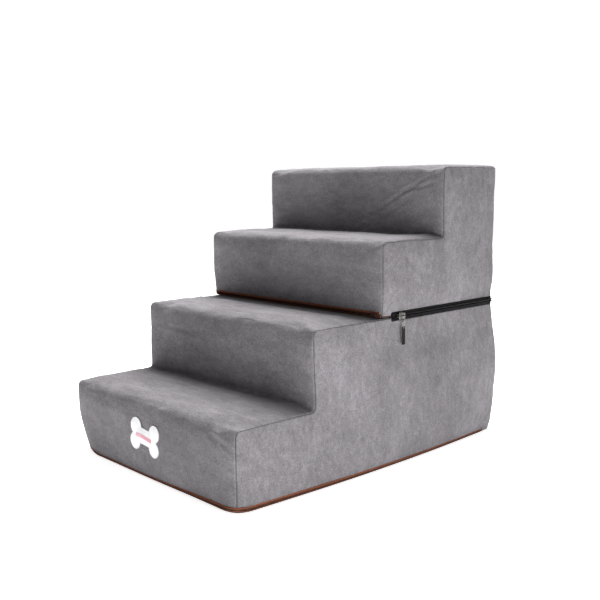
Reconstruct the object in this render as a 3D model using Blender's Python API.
"""Foam pet stairs: a lower two-step unit and an upper two-step unit that zip together.

Frame: +X is the stairs' right side, the first step faces -Y, +Z is up. The origin is the middle
of the floor face. Each unit is a foam block in a sewn cover whose base zips off. A separating zip
runs round the right side, the back and the left side of the joint, and holds the units together.
"""
import math

import bmesh
import bpy
from mathutils import Matrix, Vector

# ---- driving dimensions, in metres ----------------------------------------------------------
STAIR_WIDTH = 0.36          # across the covers
TREAD = 0.125               # depth of each step
RISER = 0.10                # height of each step
STEPS_PER_UNIT = 2

FABRIC = 0.0015             # short-pile cover fabric with its backing
BASE_THICKNESS = 0.002      # anti-slip base fabric
GAP = 0.0003                # between pieces that lie against each other
NOSE_RADIUS = 0.012         # front edge of each tread
COVE_RADIUS = 0.010         # inner corner at the foot of each riser
CORNER_RADIUS = 0.016       # plan corners of the foam and the zips

TAPE_THICKNESS = 0.0008
COIL_DEPTH = 0.0016         # how far a coil stands out from its tape
JOIN_TAPE = 0.0042          # visible height of one tape of the joining zip
JOIN_SLIT = 0.0016          # between the two halves of the joining zip
JOIN_COIL = 0.0016          # height of one half of its coil
BASE_TAPE = 0.0024          # the same three sizes of the two base zips
BASE_SLIT = 0.0012
BASE_COIL = 0.0012
JOIN_ZIP_START = 0.018      # joining zip starts this far behind the upper unit's front
TAPE_END = 0.010            # plain tape in front of its top stops
BASE_ZIP_END = 0.025        # lower base zip stops this far before the back
FRONT_ZIP_END = 0.004       # upper base zip stops this far inside the front's corners
STOP_LENGTH = 0.003         # metal stop at a zip's end

PLATE = 0.001               # outer plate of a slider
SLIDER_NOSE = 0.7           # height of a plate's narrow end, as a share of its wide end
SLIDER_POST = 0.0008        # height of the post between the plates
POST_SPAN = (0.55, 0.9)     # where the post stands, from the slider's middle to its mouth
JOIN_SLIDER_LENGTH = 0.012
BASE_SLIDER_LENGTH = 0.010
BRIDGE_HEIGHT = 0.002       # middle of the bridge's bar, above the outer plate
BRIDGE_BAR = 0.001          # square section of the bridge
BRIDGE_LENGTH = 0.006
SLIDER_BACK_OFF = 0.002     # a parked slider's body starts this far inside its zip's end

LINK_WIRE_RADIUS = 0.0004
LINK_RADIUS = 0.00135       # centre line of the link's round ends
LINK_LENGTH = 0.005         # between the middles of its round ends
LINK_STEPS = 8              # along each round end
WIRE_SIDES = 8
TAB_LENGTH = 0.030
TAB_WIDTH = 0.006
TAB_THICKNESS = 0.001
TAB_HOLE_RADIUS = 0.0007
TAB_HOLE_SIDES = 16
TAB_HEAD_RADIUS = 0.0018    # of the tab's round head, about the hole
TAB_FOOT_RADIUS = 0.0015
PULL_LENGTH = 0.014         # pull of a base zip
PULL_WIDTH = 0.0044
PULL_THICKNESS = 0.0008
PULL_ARM = 0.0008
PULL_PIVOT_HEIGHT = 0.00085  # pull's cross bar, above the outer plate
PULL_EYE = 0.005            # length of the eye that the bridge stands in
PULL_TAIL_WIDTH = 0.0053

PIN_LENGTH = 0.009          # insertion pin of the joining zip
BOX_LENGTH = 0.010

BONE_SHAFT = 0.0105         # half height of the bone's shaft
BONE_LOBE_RADIUS = 0.0109
BONE_LOBE_X = 0.0221
BONE_LOBE_Z = 0.0101
BONE_LOBE_STEPS = 15
BONE_THICKNESS = 0.0012
BONE_HEIGHT = 0.055         # middle of the patch above the floor
BONE_TILT = -4.0            # degrees
MOTIF_LENGTH = 0.036
MOTIF_HEIGHT = 0.007
MOTIF_THICKNESS = 0.0005

ARC_STEPS = 5

# ---- sizes that follow ----------------------------------------------------------------------
SKIN = FABRIC + GAP
HALF_WIDTH = STAIR_WIDTH / 2
UNIT_HEIGHT = STEPS_PER_UNIT * RISER
Y_FRONT = -STEPS_PER_UNIT * TREAD
Y_JOIN = Y_FRONT + STEPS_PER_UNIT * TREAD
Y_BACK = Y_JOIN + STEPS_PER_UNIT * TREAD
TAPE_IN = -GAP
TAPE_OUT = TAPE_IN + TAPE_THICKNESS
COIL_IN = TAPE_OUT + GAP
COIL_OUT = COIL_IN + COIL_DEPTH
PLATE_IN = COIL_OUT + GAP
PLATE_OUT = PLATE_IN + PLATE
INNER_PLATE_OUT = TAPE_IN - GAP
INNER_PLATE_IN = GAP - SKIN  # the inner plate lies between the tapes and the foam
BRIDGE_X = PLATE_OUT + BRIDGE_HEIGHT
JOIN_HALF_BAND = JOIN_SLIT / 2 + JOIN_TAPE
BASE_HALF_BAND = BASE_SLIT / 2 + BASE_TAPE
LOWER_ZIP_Z = BASE_THICKNESS + GAP + BASE_HALF_BAND
UPPER_ZIP_Z = UNIT_HEIGHT + GAP + BASE_HALF_BAND
BASE_BAND_TOP = BASE_THICKNESS + 2 * GAP + 2 * BASE_HALF_BAND
Y_SIDE_END = Y_BACK - BASE_ZIP_END
Y_ZIP_START = Y_JOIN + JOIN_ZIP_START
FRONT_ZIP_HALF = HALF_WIDTH - SKIN - FRONT_ZIP_END
JOIN_SLIDER_Y = Y_ZIP_START + TAPE_END + SLIDER_BACK_OFF + JOIN_SLIDER_LENGTH / 2
LOWER_SLIDER_Y = Y_SIDE_END - SLIDER_BACK_OFF - BASE_SLIDER_LENGTH / 2
UPPER_SLIDER_X = FRONT_ZIP_HALF - SLIDER_BACK_OFF - BASE_SLIDER_LENGTH / 2


# ---- helpers --------------------------------------------------------------------------------
def clear_scene():
    for obj in list(bpy.data.objects):
        bpy.data.objects.remove(obj)


def material(name, colour, roughness, metallic=0.0):
    made = bpy.data.materials.new(name)
    made.use_nodes = True
    shader = made.node_tree.nodes["Principled BSDF"]
    shader.inputs["Base Color"].default_value = (*colour, 1.0)
    shader.inputs["Roughness"].default_value = roughness
    shader.inputs["Metallic"].default_value = metallic
    made.diffuse_color = (*colour, 1.0)
    return made


def arc(centre, radius, start, end, steps=ARC_STEPS):
    """Points of an arc from one angle to another, in degrees, both ends included."""
    angles = [math.radians(start + (end - start) * i / steps) for i in range(steps + 1)]
    return [(centre[0] + radius * math.cos(a), centre[1] + radius * math.sin(a)) for a in angles]


AXES = {
    "x": lambda u, v, w: (w, u, v),
    "y": lambda u, v, w: (u, w, v),
    "z": lambda u, v, w: (u, v, w),
}


def prism(name, outline, low, high, axis, finish):
    """A closed outline extruded along an axis. Its points are the other two axes, in order."""
    place = AXES[axis]
    shape = bmesh.new()
    base = shape.faces.new([shape.verts.new(place(u, v, low)) for u, v in outline])
    grown = bmesh.ops.extrude_face_region(shape, geom=[base])
    moved = [item for item in grown["geom"] if isinstance(item, bmesh.types.BMVert)]
    bmesh.ops.translate(shape, vec=Vector(place(0, 0, high - low)), verts=moved)
    bmesh.ops.recalc_face_normals(shape, faces=shape.faces)
    mesh = bpy.data.meshes.new(name)
    shape.to_mesh(mesh)
    shape.free()
    obj = bpy.data.objects.new(name, mesh)
    bpy.context.collection.objects.link(obj)
    if finish:
        mesh.materials.append(finish)
    return obj


def rectangle(u_low, u_high, v_low, v_high):
    return [(u_low, v_low), (u_high, v_low), (u_high, v_high), (u_low, v_high)]


def combine(obj, other, operation):
    """Boolean of two objects. The second is a guide, which isn't part of the stairs."""
    modifier = obj.modifiers.new(other.name, "BOOLEAN")
    modifier.operation = operation
    modifier.object = other
    modifier.solver = "EXACT"
    other.hide_render = True
    other.display_type = "WIRE"


def empty(name, location, turn=0.0, parent=None):
    """An empty at a joint, turned about Z by an angle in degrees."""
    made = bpy.data.objects.new(name, None)
    bpy.context.collection.objects.link(made)
    made.parent = parent
    made.location = location
    made.rotation_euler = (0, 0, math.radians(turn))
    return made


# ---- outlines -------------------------------------------------------------------------------
def step_path(y_front, z_floor, z_start, y_end, inset):
    """Side view of a unit's treads and risers, from the front's foot to the back of the top.

    inset moves the path into the unit, which tightens the noses and opens the coves.
    """
    path = [(y_front + inset, z_start)]
    for step in range(STEPS_PER_UNIT):
        y = y_front + step * TREAD
        z = z_floor + (step + 1) * RISER
        if step:
            cove = (y - COVE_RADIUS, z - RISER + COVE_RADIUS)
            path += arc(cove, COVE_RADIUS + inset, 270, 360)
        nose = (y + NOSE_RADIUS, z - NOSE_RADIUS)
        path += arc(nose, NOSE_RADIUS - inset, 180, 90)
    return path + [(y_end, z_floor + UNIT_HEIGHT - inset)]


def wrap_path(offset, y_open, y_closed, y_open_left=None):
    """Plan view of a line that runs along the right side, round one end, and along the left.

    It starts and ends at y_open, or ends at y_open_left if that is given.
    """
    turn = math.copysign(90, y_closed - y_open)
    radius = CORNER_RADIUS + offset
    x_centre = HALF_WIDTH - CORNER_RADIUS
    y_centre = y_closed - math.copysign(CORNER_RADIUS, turn)
    path = [(HALF_WIDTH + offset, y_open)]
    path += arc((x_centre, y_centre), radius, 0, turn)
    path += arc((-x_centre, y_centre), radius, turn, 2 * turn)
    return path + [(-HALF_WIDTH - offset, y_open if y_open_left is None else y_open_left)]


def wrap_band(offset_in, offset_out, *ends):
    return wrap_path(offset_out, *ends) + wrap_path(offset_in, *ends)[::-1]


def rounded_plan(inset, y_low, y_high, round_front):
    """Plan outline of a foam block, its back corners rounded, and its front ones too if asked."""
    half = HALF_WIDTH - inset
    radius = CORNER_RADIUS - inset
    outline = arc((half - radius, y_high - radius), radius, 0, 90)
    outline += arc((radius - half, y_high - radius), radius, 90, 180)
    if not round_front:
        return outline + [(-half, y_low), (half, y_low)]
    outline += arc((radius - half, y_low + radius), radius, 180, 270)
    return outline + arc((half - radius, y_low + radius), radius, 270, 360)


# ---- covers and foam ------------------------------------------------------------------------
def foam_core(name, y_front, z_floor, z_low, round_front, finish):
    """Foam block with treads and risers, trimmed to its plan outline."""
    inner_back = Y_BACK - SKIN
    outline = step_path(y_front, z_floor, z_low, Y_BACK, SKIN) + [(Y_BACK, z_low)]
    core = prism(name, outline, -HALF_WIDTH, HALF_WIDTH, "x", finish)
    y_low = y_front + SKIN if round_front else y_front
    plan = rounded_plan(SKIN, y_low, inner_back, round_front)
    guide = prism(name + "_plan", plan, z_floor - RISER, z_floor + 2 * UNIT_HEIGHT, "z", None)
    combine(core, guide, "INTERSECT")
    return core


def step_panel(name, y_front, z_floor, z_start, finish):
    """One strip of fabric over every riser and tread of a unit, between its side panels."""
    outer = step_path(y_front, z_floor, z_start, Y_BACK, 0)
    inner = step_path(y_front, z_floor, z_start, Y_BACK, FABRIC)
    panel = prism(name, outer + inner[::-1], -HALF_WIDTH, HALF_WIDTH, "x", finish)
    plan = rounded_plan(SKIN, y_front - TREAD, Y_BACK - SKIN, False)
    guide = prism(name + "_plan", plan, z_floor - RISER, z_floor + 2 * UNIT_HEIGHT, "z", None)
    combine(panel, guide, "INTERSECT")
    return panel


def side_panels(unit, outline, finish):
    for side, sign in (("left", -1), ("right", 1)):
        faces = sorted((sign * (HALF_WIDTH - FABRIC), sign * HALF_WIDTH))
        prism(f"{unit}_{side}_side_panel", outline, faces[0], faces[1], "x", finish)


def back_panel(name, z_low, z_high, finish):
    """Back of a unit, carried round the back corners to the side panels."""
    outline = wrap_band(-FABRIC, 0, Y_SIDE_END + GAP, Y_BACK)
    prism(name, outline, z_low, z_high, "z", finish)


def lower_cover(finish, foam, base):
    foam_core("lower_foam_core", Y_FRONT, 0, BASE_THICKNESS + GAP, True, foam)
    step_panel("lower_step_panel", Y_FRONT, 0, BASE_BAND_TOP, finish)
    z_notch = UNIT_HEIGHT - JOIN_HALF_BAND - GAP
    outline = step_path(Y_FRONT, 0, BASE_BAND_TOP, Y_ZIP_START - GAP, 0)
    outline += [(Y_ZIP_START - GAP, z_notch), (Y_SIDE_END, z_notch), (Y_SIDE_END, BASE_BAND_TOP)]
    side_panels("lower", outline, finish)
    back_panel("lower_back_panel", BASE_THICKNESS + GAP, z_notch, finish)
    plan = rounded_plan(0, Y_FRONT, Y_BACK, True)
    prism("lower_base_panel", plan, 0, BASE_THICKNESS, "z", base)


def upper_cover(finish, foam, base):
    z_base = UNIT_HEIGHT + GAP
    z_start = UPPER_ZIP_Z + BASE_HALF_BAND + GAP
    foam_core("upper_foam_core", Y_JOIN, UNIT_HEIGHT, z_base + SKIN, False, foam)
    step_panel("upper_step_panel", Y_JOIN, UNIT_HEIGHT, z_start, finish)
    z_notch = UNIT_HEIGHT + JOIN_HALF_BAND + GAP
    outline = step_path(Y_JOIN, UNIT_HEIGHT, z_base, Y_SIDE_END, 0)
    outline += [(Y_SIDE_END, z_notch), (Y_ZIP_START - GAP, z_notch), (Y_ZIP_START - GAP, z_base)]
    side_panels("upper", outline, finish)
    back_panel("upper_back_panel", z_notch, 2 * UNIT_HEIGHT, finish)
    plan = rounded_plan(SKIN, Y_JOIN + SKIN, Y_BACK - SKIN, False)
    prism("upper_base_panel", plan, z_base, z_base + FABRIC, "z", base)


# ---- zips -----------------------------------------------------------------------------------
def halves(z_middle, slit, height):
    """Heights of a zip's lower and upper strips, which face each other across its slit."""
    low, high = z_middle - slit / 2, z_middle + slit / 2
    return (low - height, low), (high, high + height)


def joining_zip(tape, coil, metal):
    tapes = halves(UNIT_HEIGHT, JOIN_SLIT, JOIN_TAPE)
    coils = halves(UNIT_HEIGHT, JOIN_SLIT, JOIN_COIL)
    tape_plan = wrap_band(TAPE_IN, TAPE_OUT, Y_ZIP_START, Y_BACK)
    y_stop = Y_ZIP_START + TAPE_END
    coil_plan = wrap_band(COIL_IN, COIL_OUT, y_stop + STOP_LENGTH + GAP, Y_BACK,
                          Y_ZIP_START + BOX_LENGTH + GAP)
    for half, tape_z, coil_z in zip(("lower", "upper"), tapes, coils):
        prism(f"joining_zip_{half}_tape", tape_plan, *tape_z, "z", tape)
        prism(f"joining_zip_{half}_coil", coil_plan, *coil_z, "z", coil)
        stop = rectangle(HALF_WIDTH + COIL_IN, HALF_WIDTH + COIL_OUT, y_stop,
                         y_stop + STOP_LENGTH)
        prism(f"joining_zip_{half}_top_stop", stop, *coil_z, "z", metal)
    retainer(tapes, coils, metal)


def retainer(tapes, coils, metal):
    """Retainer box on the lower tape's left end, open above, and the pin that drops into it."""
    x_out = -HALF_WIDTH - COIL_OUT - GAP
    x_in = -HALF_WIDTH - COIL_IN
    floor = coils[0][0] + GAP
    wall = GAP
    box = [(x_out, coils[0][0] - wall), (x_in, coils[0][0] - wall), (x_in, UNIT_HEIGHT),
           (x_in - wall, UNIT_HEIGHT), (x_in - wall, floor), (x_out + wall, floor),
           (x_out + wall, UNIT_HEIGHT), (x_out, UNIT_HEIGHT)]
    prism("joining_zip_retainer_box", box, Y_ZIP_START, Y_ZIP_START + BOX_LENGTH, "y", metal)
    pin_in, pin_out = x_in - wall - GAP, x_out + wall + GAP
    pin = [(pin_out, floor + GAP), (pin_in, floor + GAP), (pin_in, UNIT_HEIGHT + GAP),
           (x_in, UNIT_HEIGHT + GAP), (x_in, coils[1][1]), (pin_out, coils[1][1])]
    prism("joining_zip_insertion_pin", pin, Y_ZIP_START, Y_ZIP_START + PIN_LENGTH, "y", metal)


def lower_base_zip(tape, coil, metal):
    """Zip round the front of the base. It ends on both sides, short of the back."""
    tapes = halves(LOWER_ZIP_Z, BASE_SLIT, BASE_TAPE)
    coils = halves(LOWER_ZIP_Z, BASE_SLIT, BASE_COIL)
    y_end = Y_SIDE_END
    y_coil = y_end - STOP_LENGTH - GAP
    for half, tape_z, coil_z in zip(("base", "cover"), tapes, coils):
        prism(f"lower_base_zip_{half}_tape", wrap_band(TAPE_IN, TAPE_OUT, y_end, Y_FRONT),
              *tape_z, "z", tape)
        prism(f"lower_base_zip_{half}_coil", wrap_band(COIL_IN, COIL_OUT, y_coil, Y_FRONT),
              *coil_z, "z", coil)
        stop = rectangle(-HALF_WIDTH - COIL_OUT, -HALF_WIDTH - COIL_IN, y_end - STOP_LENGTH, y_end)
        prism(f"lower_base_zip_{half}_top_stop", stop, *coil_z, "z", metal)
    stop = rectangle(HALF_WIDTH + COIL_IN, HALF_WIDTH + COIL_OUT, y_end - STOP_LENGTH, y_end)
    prism("lower_base_zip_bottom_stop", stop, coils[0][0], coils[1][1], "z", metal)


def upper_base_zip(tape, coil, metal):
    """Straight zip along the foot of the upper unit's front."""
    tapes = halves(UPPER_ZIP_Z, BASE_SLIT, BASE_TAPE)
    coils = halves(UPPER_ZIP_Z, BASE_SLIT, BASE_COIL)
    end = FRONT_ZIP_HALF
    coil_end = end - STOP_LENGTH - GAP
    y_coil = (Y_JOIN - COIL_OUT, Y_JOIN - COIL_IN)
    for half, tape_z, coil_z in zip(("base", "cover"), tapes, coils):
        strip = rectangle(-end, end, Y_JOIN - TAPE_OUT, Y_JOIN - TAPE_IN)
        prism(f"upper_base_zip_{half}_tape", strip, *tape_z, "z", tape)
        prism(f"upper_base_zip_{half}_coil", rectangle(-coil_end, coil_end, *y_coil), *coil_z,
              "z", coil)
        stop = rectangle(end - STOP_LENGTH, end, *y_coil)
        prism(f"upper_base_zip_{half}_top_stop", stop, *coil_z, "z", metal)
    stop = rectangle(-end, STOP_LENGTH - end, *y_coil)
    prism("upper_base_zip_bottom_stop", stop, coils[0][0], coils[1][1], "z", metal)


# ---- sliders and pulls ----------------------------------------------------------------------
def slider(name, length, half_band, mouth, holder, metal):
    """Slider in its holder's frame: +X out of the cover, Y along the zip.

    mouth is the end, -1 or 1 along Y, where the post parts the two halves of the zip.
    """
    half = length / 2
    nose = half_band * SLIDER_NOSE
    plate = [(-mouth * half, -nose), (mouth * half, -half_band), (mouth * half, half_band),
             (-mouth * half, nose)]
    body = prism(name, plate, PLATE_IN, PLATE_OUT, "x", metal)
    back = prism(name + "_inner_plate", plate, INNER_PLATE_IN, INNER_PLATE_OUT, "x", None)
    post_y = sorted(mouth * half * share for share in POST_SPAN)
    post = prism(name + "_post", rectangle(*post_y, -SLIDER_POST / 2, SLIDER_POST / 2),
                 (INNER_PLATE_IN + INNER_PLATE_OUT) / 2, PLATE_IN + PLATE / 2, "x", None)
    top, under = BRIDGE_X + BRIDGE_BAR / 2, BRIDGE_X - BRIDGE_BAR / 2
    foot = PLATE_OUT - PLATE / 2
    outer, inner = BRIDGE_LENGTH / 2, BRIDGE_LENGTH / 2 - BRIDGE_BAR
    arch = [(foot, -outer), (top, -outer), (top, outer), (foot, outer), (foot, inner),
            (under, inner), (under, -inner), (foot, -inner)]
    bridge = prism(name + "_bridge", arch, -BRIDGE_BAR / 2, BRIDGE_BAR / 2, "z", None)
    for piece in (back, post, bridge):
        combine(body, piece, "UNION")
        piece.parent = holder
    body.parent = holder


def pull_link(name, holder, metal):
    """Wire link round the bridge's bar, hanging in the plane across the zip."""
    centre_line = arc((0, 0), LINK_RADIUS, 0, 180, LINK_STEPS)
    centre_line += arc((0, -LINK_LENGTH), LINK_RADIUS, 180, 360, LINK_STEPS)
    shape = bmesh.new()
    rings = []
    for index, (x, z) in enumerate(centre_line):
        z_middle = 0 if index <= LINK_STEPS else -LINK_LENGTH
        out = Vector((x, 0, z - z_middle)).normalized()
        ring = []
        for side in range(WIRE_SIDES):
            angle = 2 * math.pi * side / WIRE_SIDES
            away = out * math.cos(angle) + Vector((0, 1, 0)) * math.sin(angle)
            ring.append(shape.verts.new(Vector((x, 0, z)) + away * LINK_WIRE_RADIUS))
        rings.append(ring)
    for ring, following in zip(rings, rings[1:] + rings[:1]):
        for side in range(WIRE_SIDES):
            after = (side + 1) % WIRE_SIDES
            shape.faces.new((ring[side], ring[after], following[after], following[side]))
    bmesh.ops.recalc_face_normals(shape, faces=shape.faces)
    mesh = bpy.data.meshes.new(name)
    shape.to_mesh(mesh)
    shape.free()
    mesh.shade_smooth()
    mesh.materials.append(metal)
    obj = bpy.data.objects.new(name, mesh)
    bpy.context.collection.objects.link(obj)
    obj.parent = holder


def pull_tab(name, holder, metal):
    """Flat tab on the link: its origin is the eye's middle, and it hangs down -Z."""
    shoulder = TAB_WIDTH / 2
    head = arc((0, 0), TAB_HEAD_RADIUS, 150, 30, 2 * ARC_STEPS)
    y_foot = shoulder - TAB_FOOT_RADIUS
    z_foot = -TAB_LENGTH + TAB_FOOT_RADIUS
    foot = arc((y_foot, z_foot), TAB_FOOT_RADIUS, 0, -90)
    foot += arc((-y_foot, z_foot), TAB_FOOT_RADIUS, -90, -180)
    outline = head + [(shoulder, -shoulder)] + foot + [(-shoulder, -shoulder)]
    tab = prism(name, outline, -TAB_THICKNESS / 2, TAB_THICKNESS / 2, "x", metal)
    circle = arc((0, 0), TAB_HOLE_RADIUS, 0, 360, TAB_HOLE_SIDES)[:-1]
    eye = prism(name + "_eye", circle, -TAB_THICKNESS, TAB_THICKNESS, "x", None)
    combine(tab, eye, "DIFFERENCE")
    tab.parent = holder
    eye.parent = holder


def flat_pull(name, mouth, holder, metal):
    """Pull of a base zip. Its cross bar is on the origin, and it lies along the zip at rest."""
    half = PULL_WIDTH / 2
    tail = PULL_TAIL_WIDTH / 2
    bar = PULL_THICKNESS / 2
    outline = [(-bar * mouth, -half), (PULL_EYE * mouth, -half), ((PULL_EYE + half) * mouth, -tail),
               (PULL_LENGTH * mouth, -tail), (PULL_LENGTH * mouth, tail),
               ((PULL_EYE + half) * mouth, tail), (PULL_EYE * mouth, half), (-bar * mouth, half)]
    pull = prism(name, outline, -bar, bar, "x", metal)
    eye_y = sorted((bar * mouth, PULL_EYE * mouth))
    eye = prism(name + "_eye", rectangle(*eye_y, PULL_ARM - half, half - PULL_ARM),
                -PULL_THICKNESS, PULL_THICKNESS, "x", None)
    combine(pull, eye, "DIFFERENCE")
    pull.parent = holder
    eye.parent = holder


def joining_slider(nickel, gunmetal):
    at_slider = empty("joining_zip_slide", (HALF_WIDTH, JOIN_SLIDER_Y, UNIT_HEIGHT))
    slider("joining_zip_slider", JOIN_SLIDER_LENGTH, JOIN_HALF_BAND, -1, at_slider, nickel)
    at_link = empty("joining_zip_link_hinge", (BRIDGE_X, 0, 0), parent=at_slider)
    pull_link("joining_zip_pull_ring", at_link, nickel)
    at_tab = empty("joining_zip_tab_hinge", (0, 0, -LINK_LENGTH - LINK_RADIUS), parent=at_link)
    pull_tab("joining_zip_pull_tab", at_tab, gunmetal)


def base_slider(unit, location, turn, mouth, metal):
    at_slider = empty(f"{unit}_base_zip_slide", location, turn)
    name = f"{unit}_base_zip_slider"
    slider(name, BASE_SLIDER_LENGTH, BASE_HALF_BAND, mouth, at_slider, metal)
    at_pull = empty(f"{unit}_base_zip_hinge", (PLATE_OUT + PULL_PIVOT_HEIGHT, 0, 0),
                    parent=at_slider)
    flat_pull(f"{unit}_base_zip_pull", mouth, at_pull, metal)


# ---- patch ----------------------------------------------------------------------------------
def bone_outline():
    """Bone: four round lobes joined by a shaft, drawn one quarter after another."""
    rise = math.degrees(math.asin((BONE_LOBE_Z - BONE_SHAFT) / BONE_LOBE_RADIUS))
    notch = math.degrees(math.asin(BONE_LOBE_Z / BONE_LOBE_RADIUS))
    lobe = (BONE_LOBE_X, BONE_LOBE_Z)
    right_top = arc(lobe, BONE_LOBE_RADIUS, 180 + rise, -notch, BONE_LOBE_STEPS)
    right_low = [(x, -z) for x, z in right_top[-2::-1]]
    right = right_top + right_low
    return right + [(-x, -z) for x, z in right]


def patch(white, pink):
    turn = Matrix.Rotation(math.radians(-BONE_TILT), 4, "Y")
    y_patch = Y_FRONT - GAP
    y_motif = y_patch - BONE_THICKNESS - GAP
    motif = rectangle(-MOTIF_LENGTH / 2, MOTIF_LENGTH / 2, -MOTIF_HEIGHT / 2, MOTIF_HEIGHT / 2)
    bone = prism("bone_patch", bone_outline(), y_patch - BONE_THICKNESS, y_patch, "y", white)
    band = prism("bone_patch_motif", motif, y_motif - MOTIF_THICKNESS, y_motif, "y", pink)
    for piece in (bone, band):
        piece.data.transform(Matrix.Translation((0, 0, BONE_HEIGHT)) @ turn)


def main():
    clear_scene()
    suede = material("short_pile_suede", (0.16, 0.15, 0.155), 0.9)
    foam = material("polyurethane_foam", (0.75, 0.72, 0.62), 0.95)
    base = material("brown_anti_slip_fabric", (0.08, 0.035, 0.022), 0.85)
    brown_tape = material("brown_zip_tape", (0.13, 0.045, 0.028), 0.8)
    brown_coil = material("brown_nylon_coil", (0.17, 0.06, 0.035), 0.45)
    black_tape = material("black_zip_tape", (0.012, 0.013, 0.014), 0.8)
    black_coil = material("black_nylon_coil", (0.01, 0.01, 0.011), 0.4)
    nickel = material("nickel_plated_zinc", (0.6, 0.59, 0.56), 0.25, 1.0)
    gunmetal = material("gunmetal_plated_zinc", (0.12, 0.11, 0.11), 0.3, 1.0)
    brown_metal = material("brown_enamelled_zinc", (0.1, 0.04, 0.03), 0.4)
    white = material("white_felt", (0.85, 0.86, 0.86), 0.85)
    pink = material("pink_embroidery", (0.8, 0.16, 0.26), 0.6)
    lower_cover(suede, foam, base)
    upper_cover(suede, foam, base)
    joining_zip(black_tape, black_coil, nickel)
    lower_base_zip(brown_tape, brown_coil, brown_metal)
    upper_base_zip(brown_tape, brown_coil, brown_metal)
    joining_slider(nickel, gunmetal)
    base_slider("lower", (-HALF_WIDTH, LOWER_SLIDER_Y, LOWER_ZIP_Z), 180, -1, brown_metal)
    base_slider("upper", (UPPER_SLIDER_X, Y_JOIN, UPPER_ZIP_Z), -90, 1, brown_metal)
    patch(white, pink)


main()
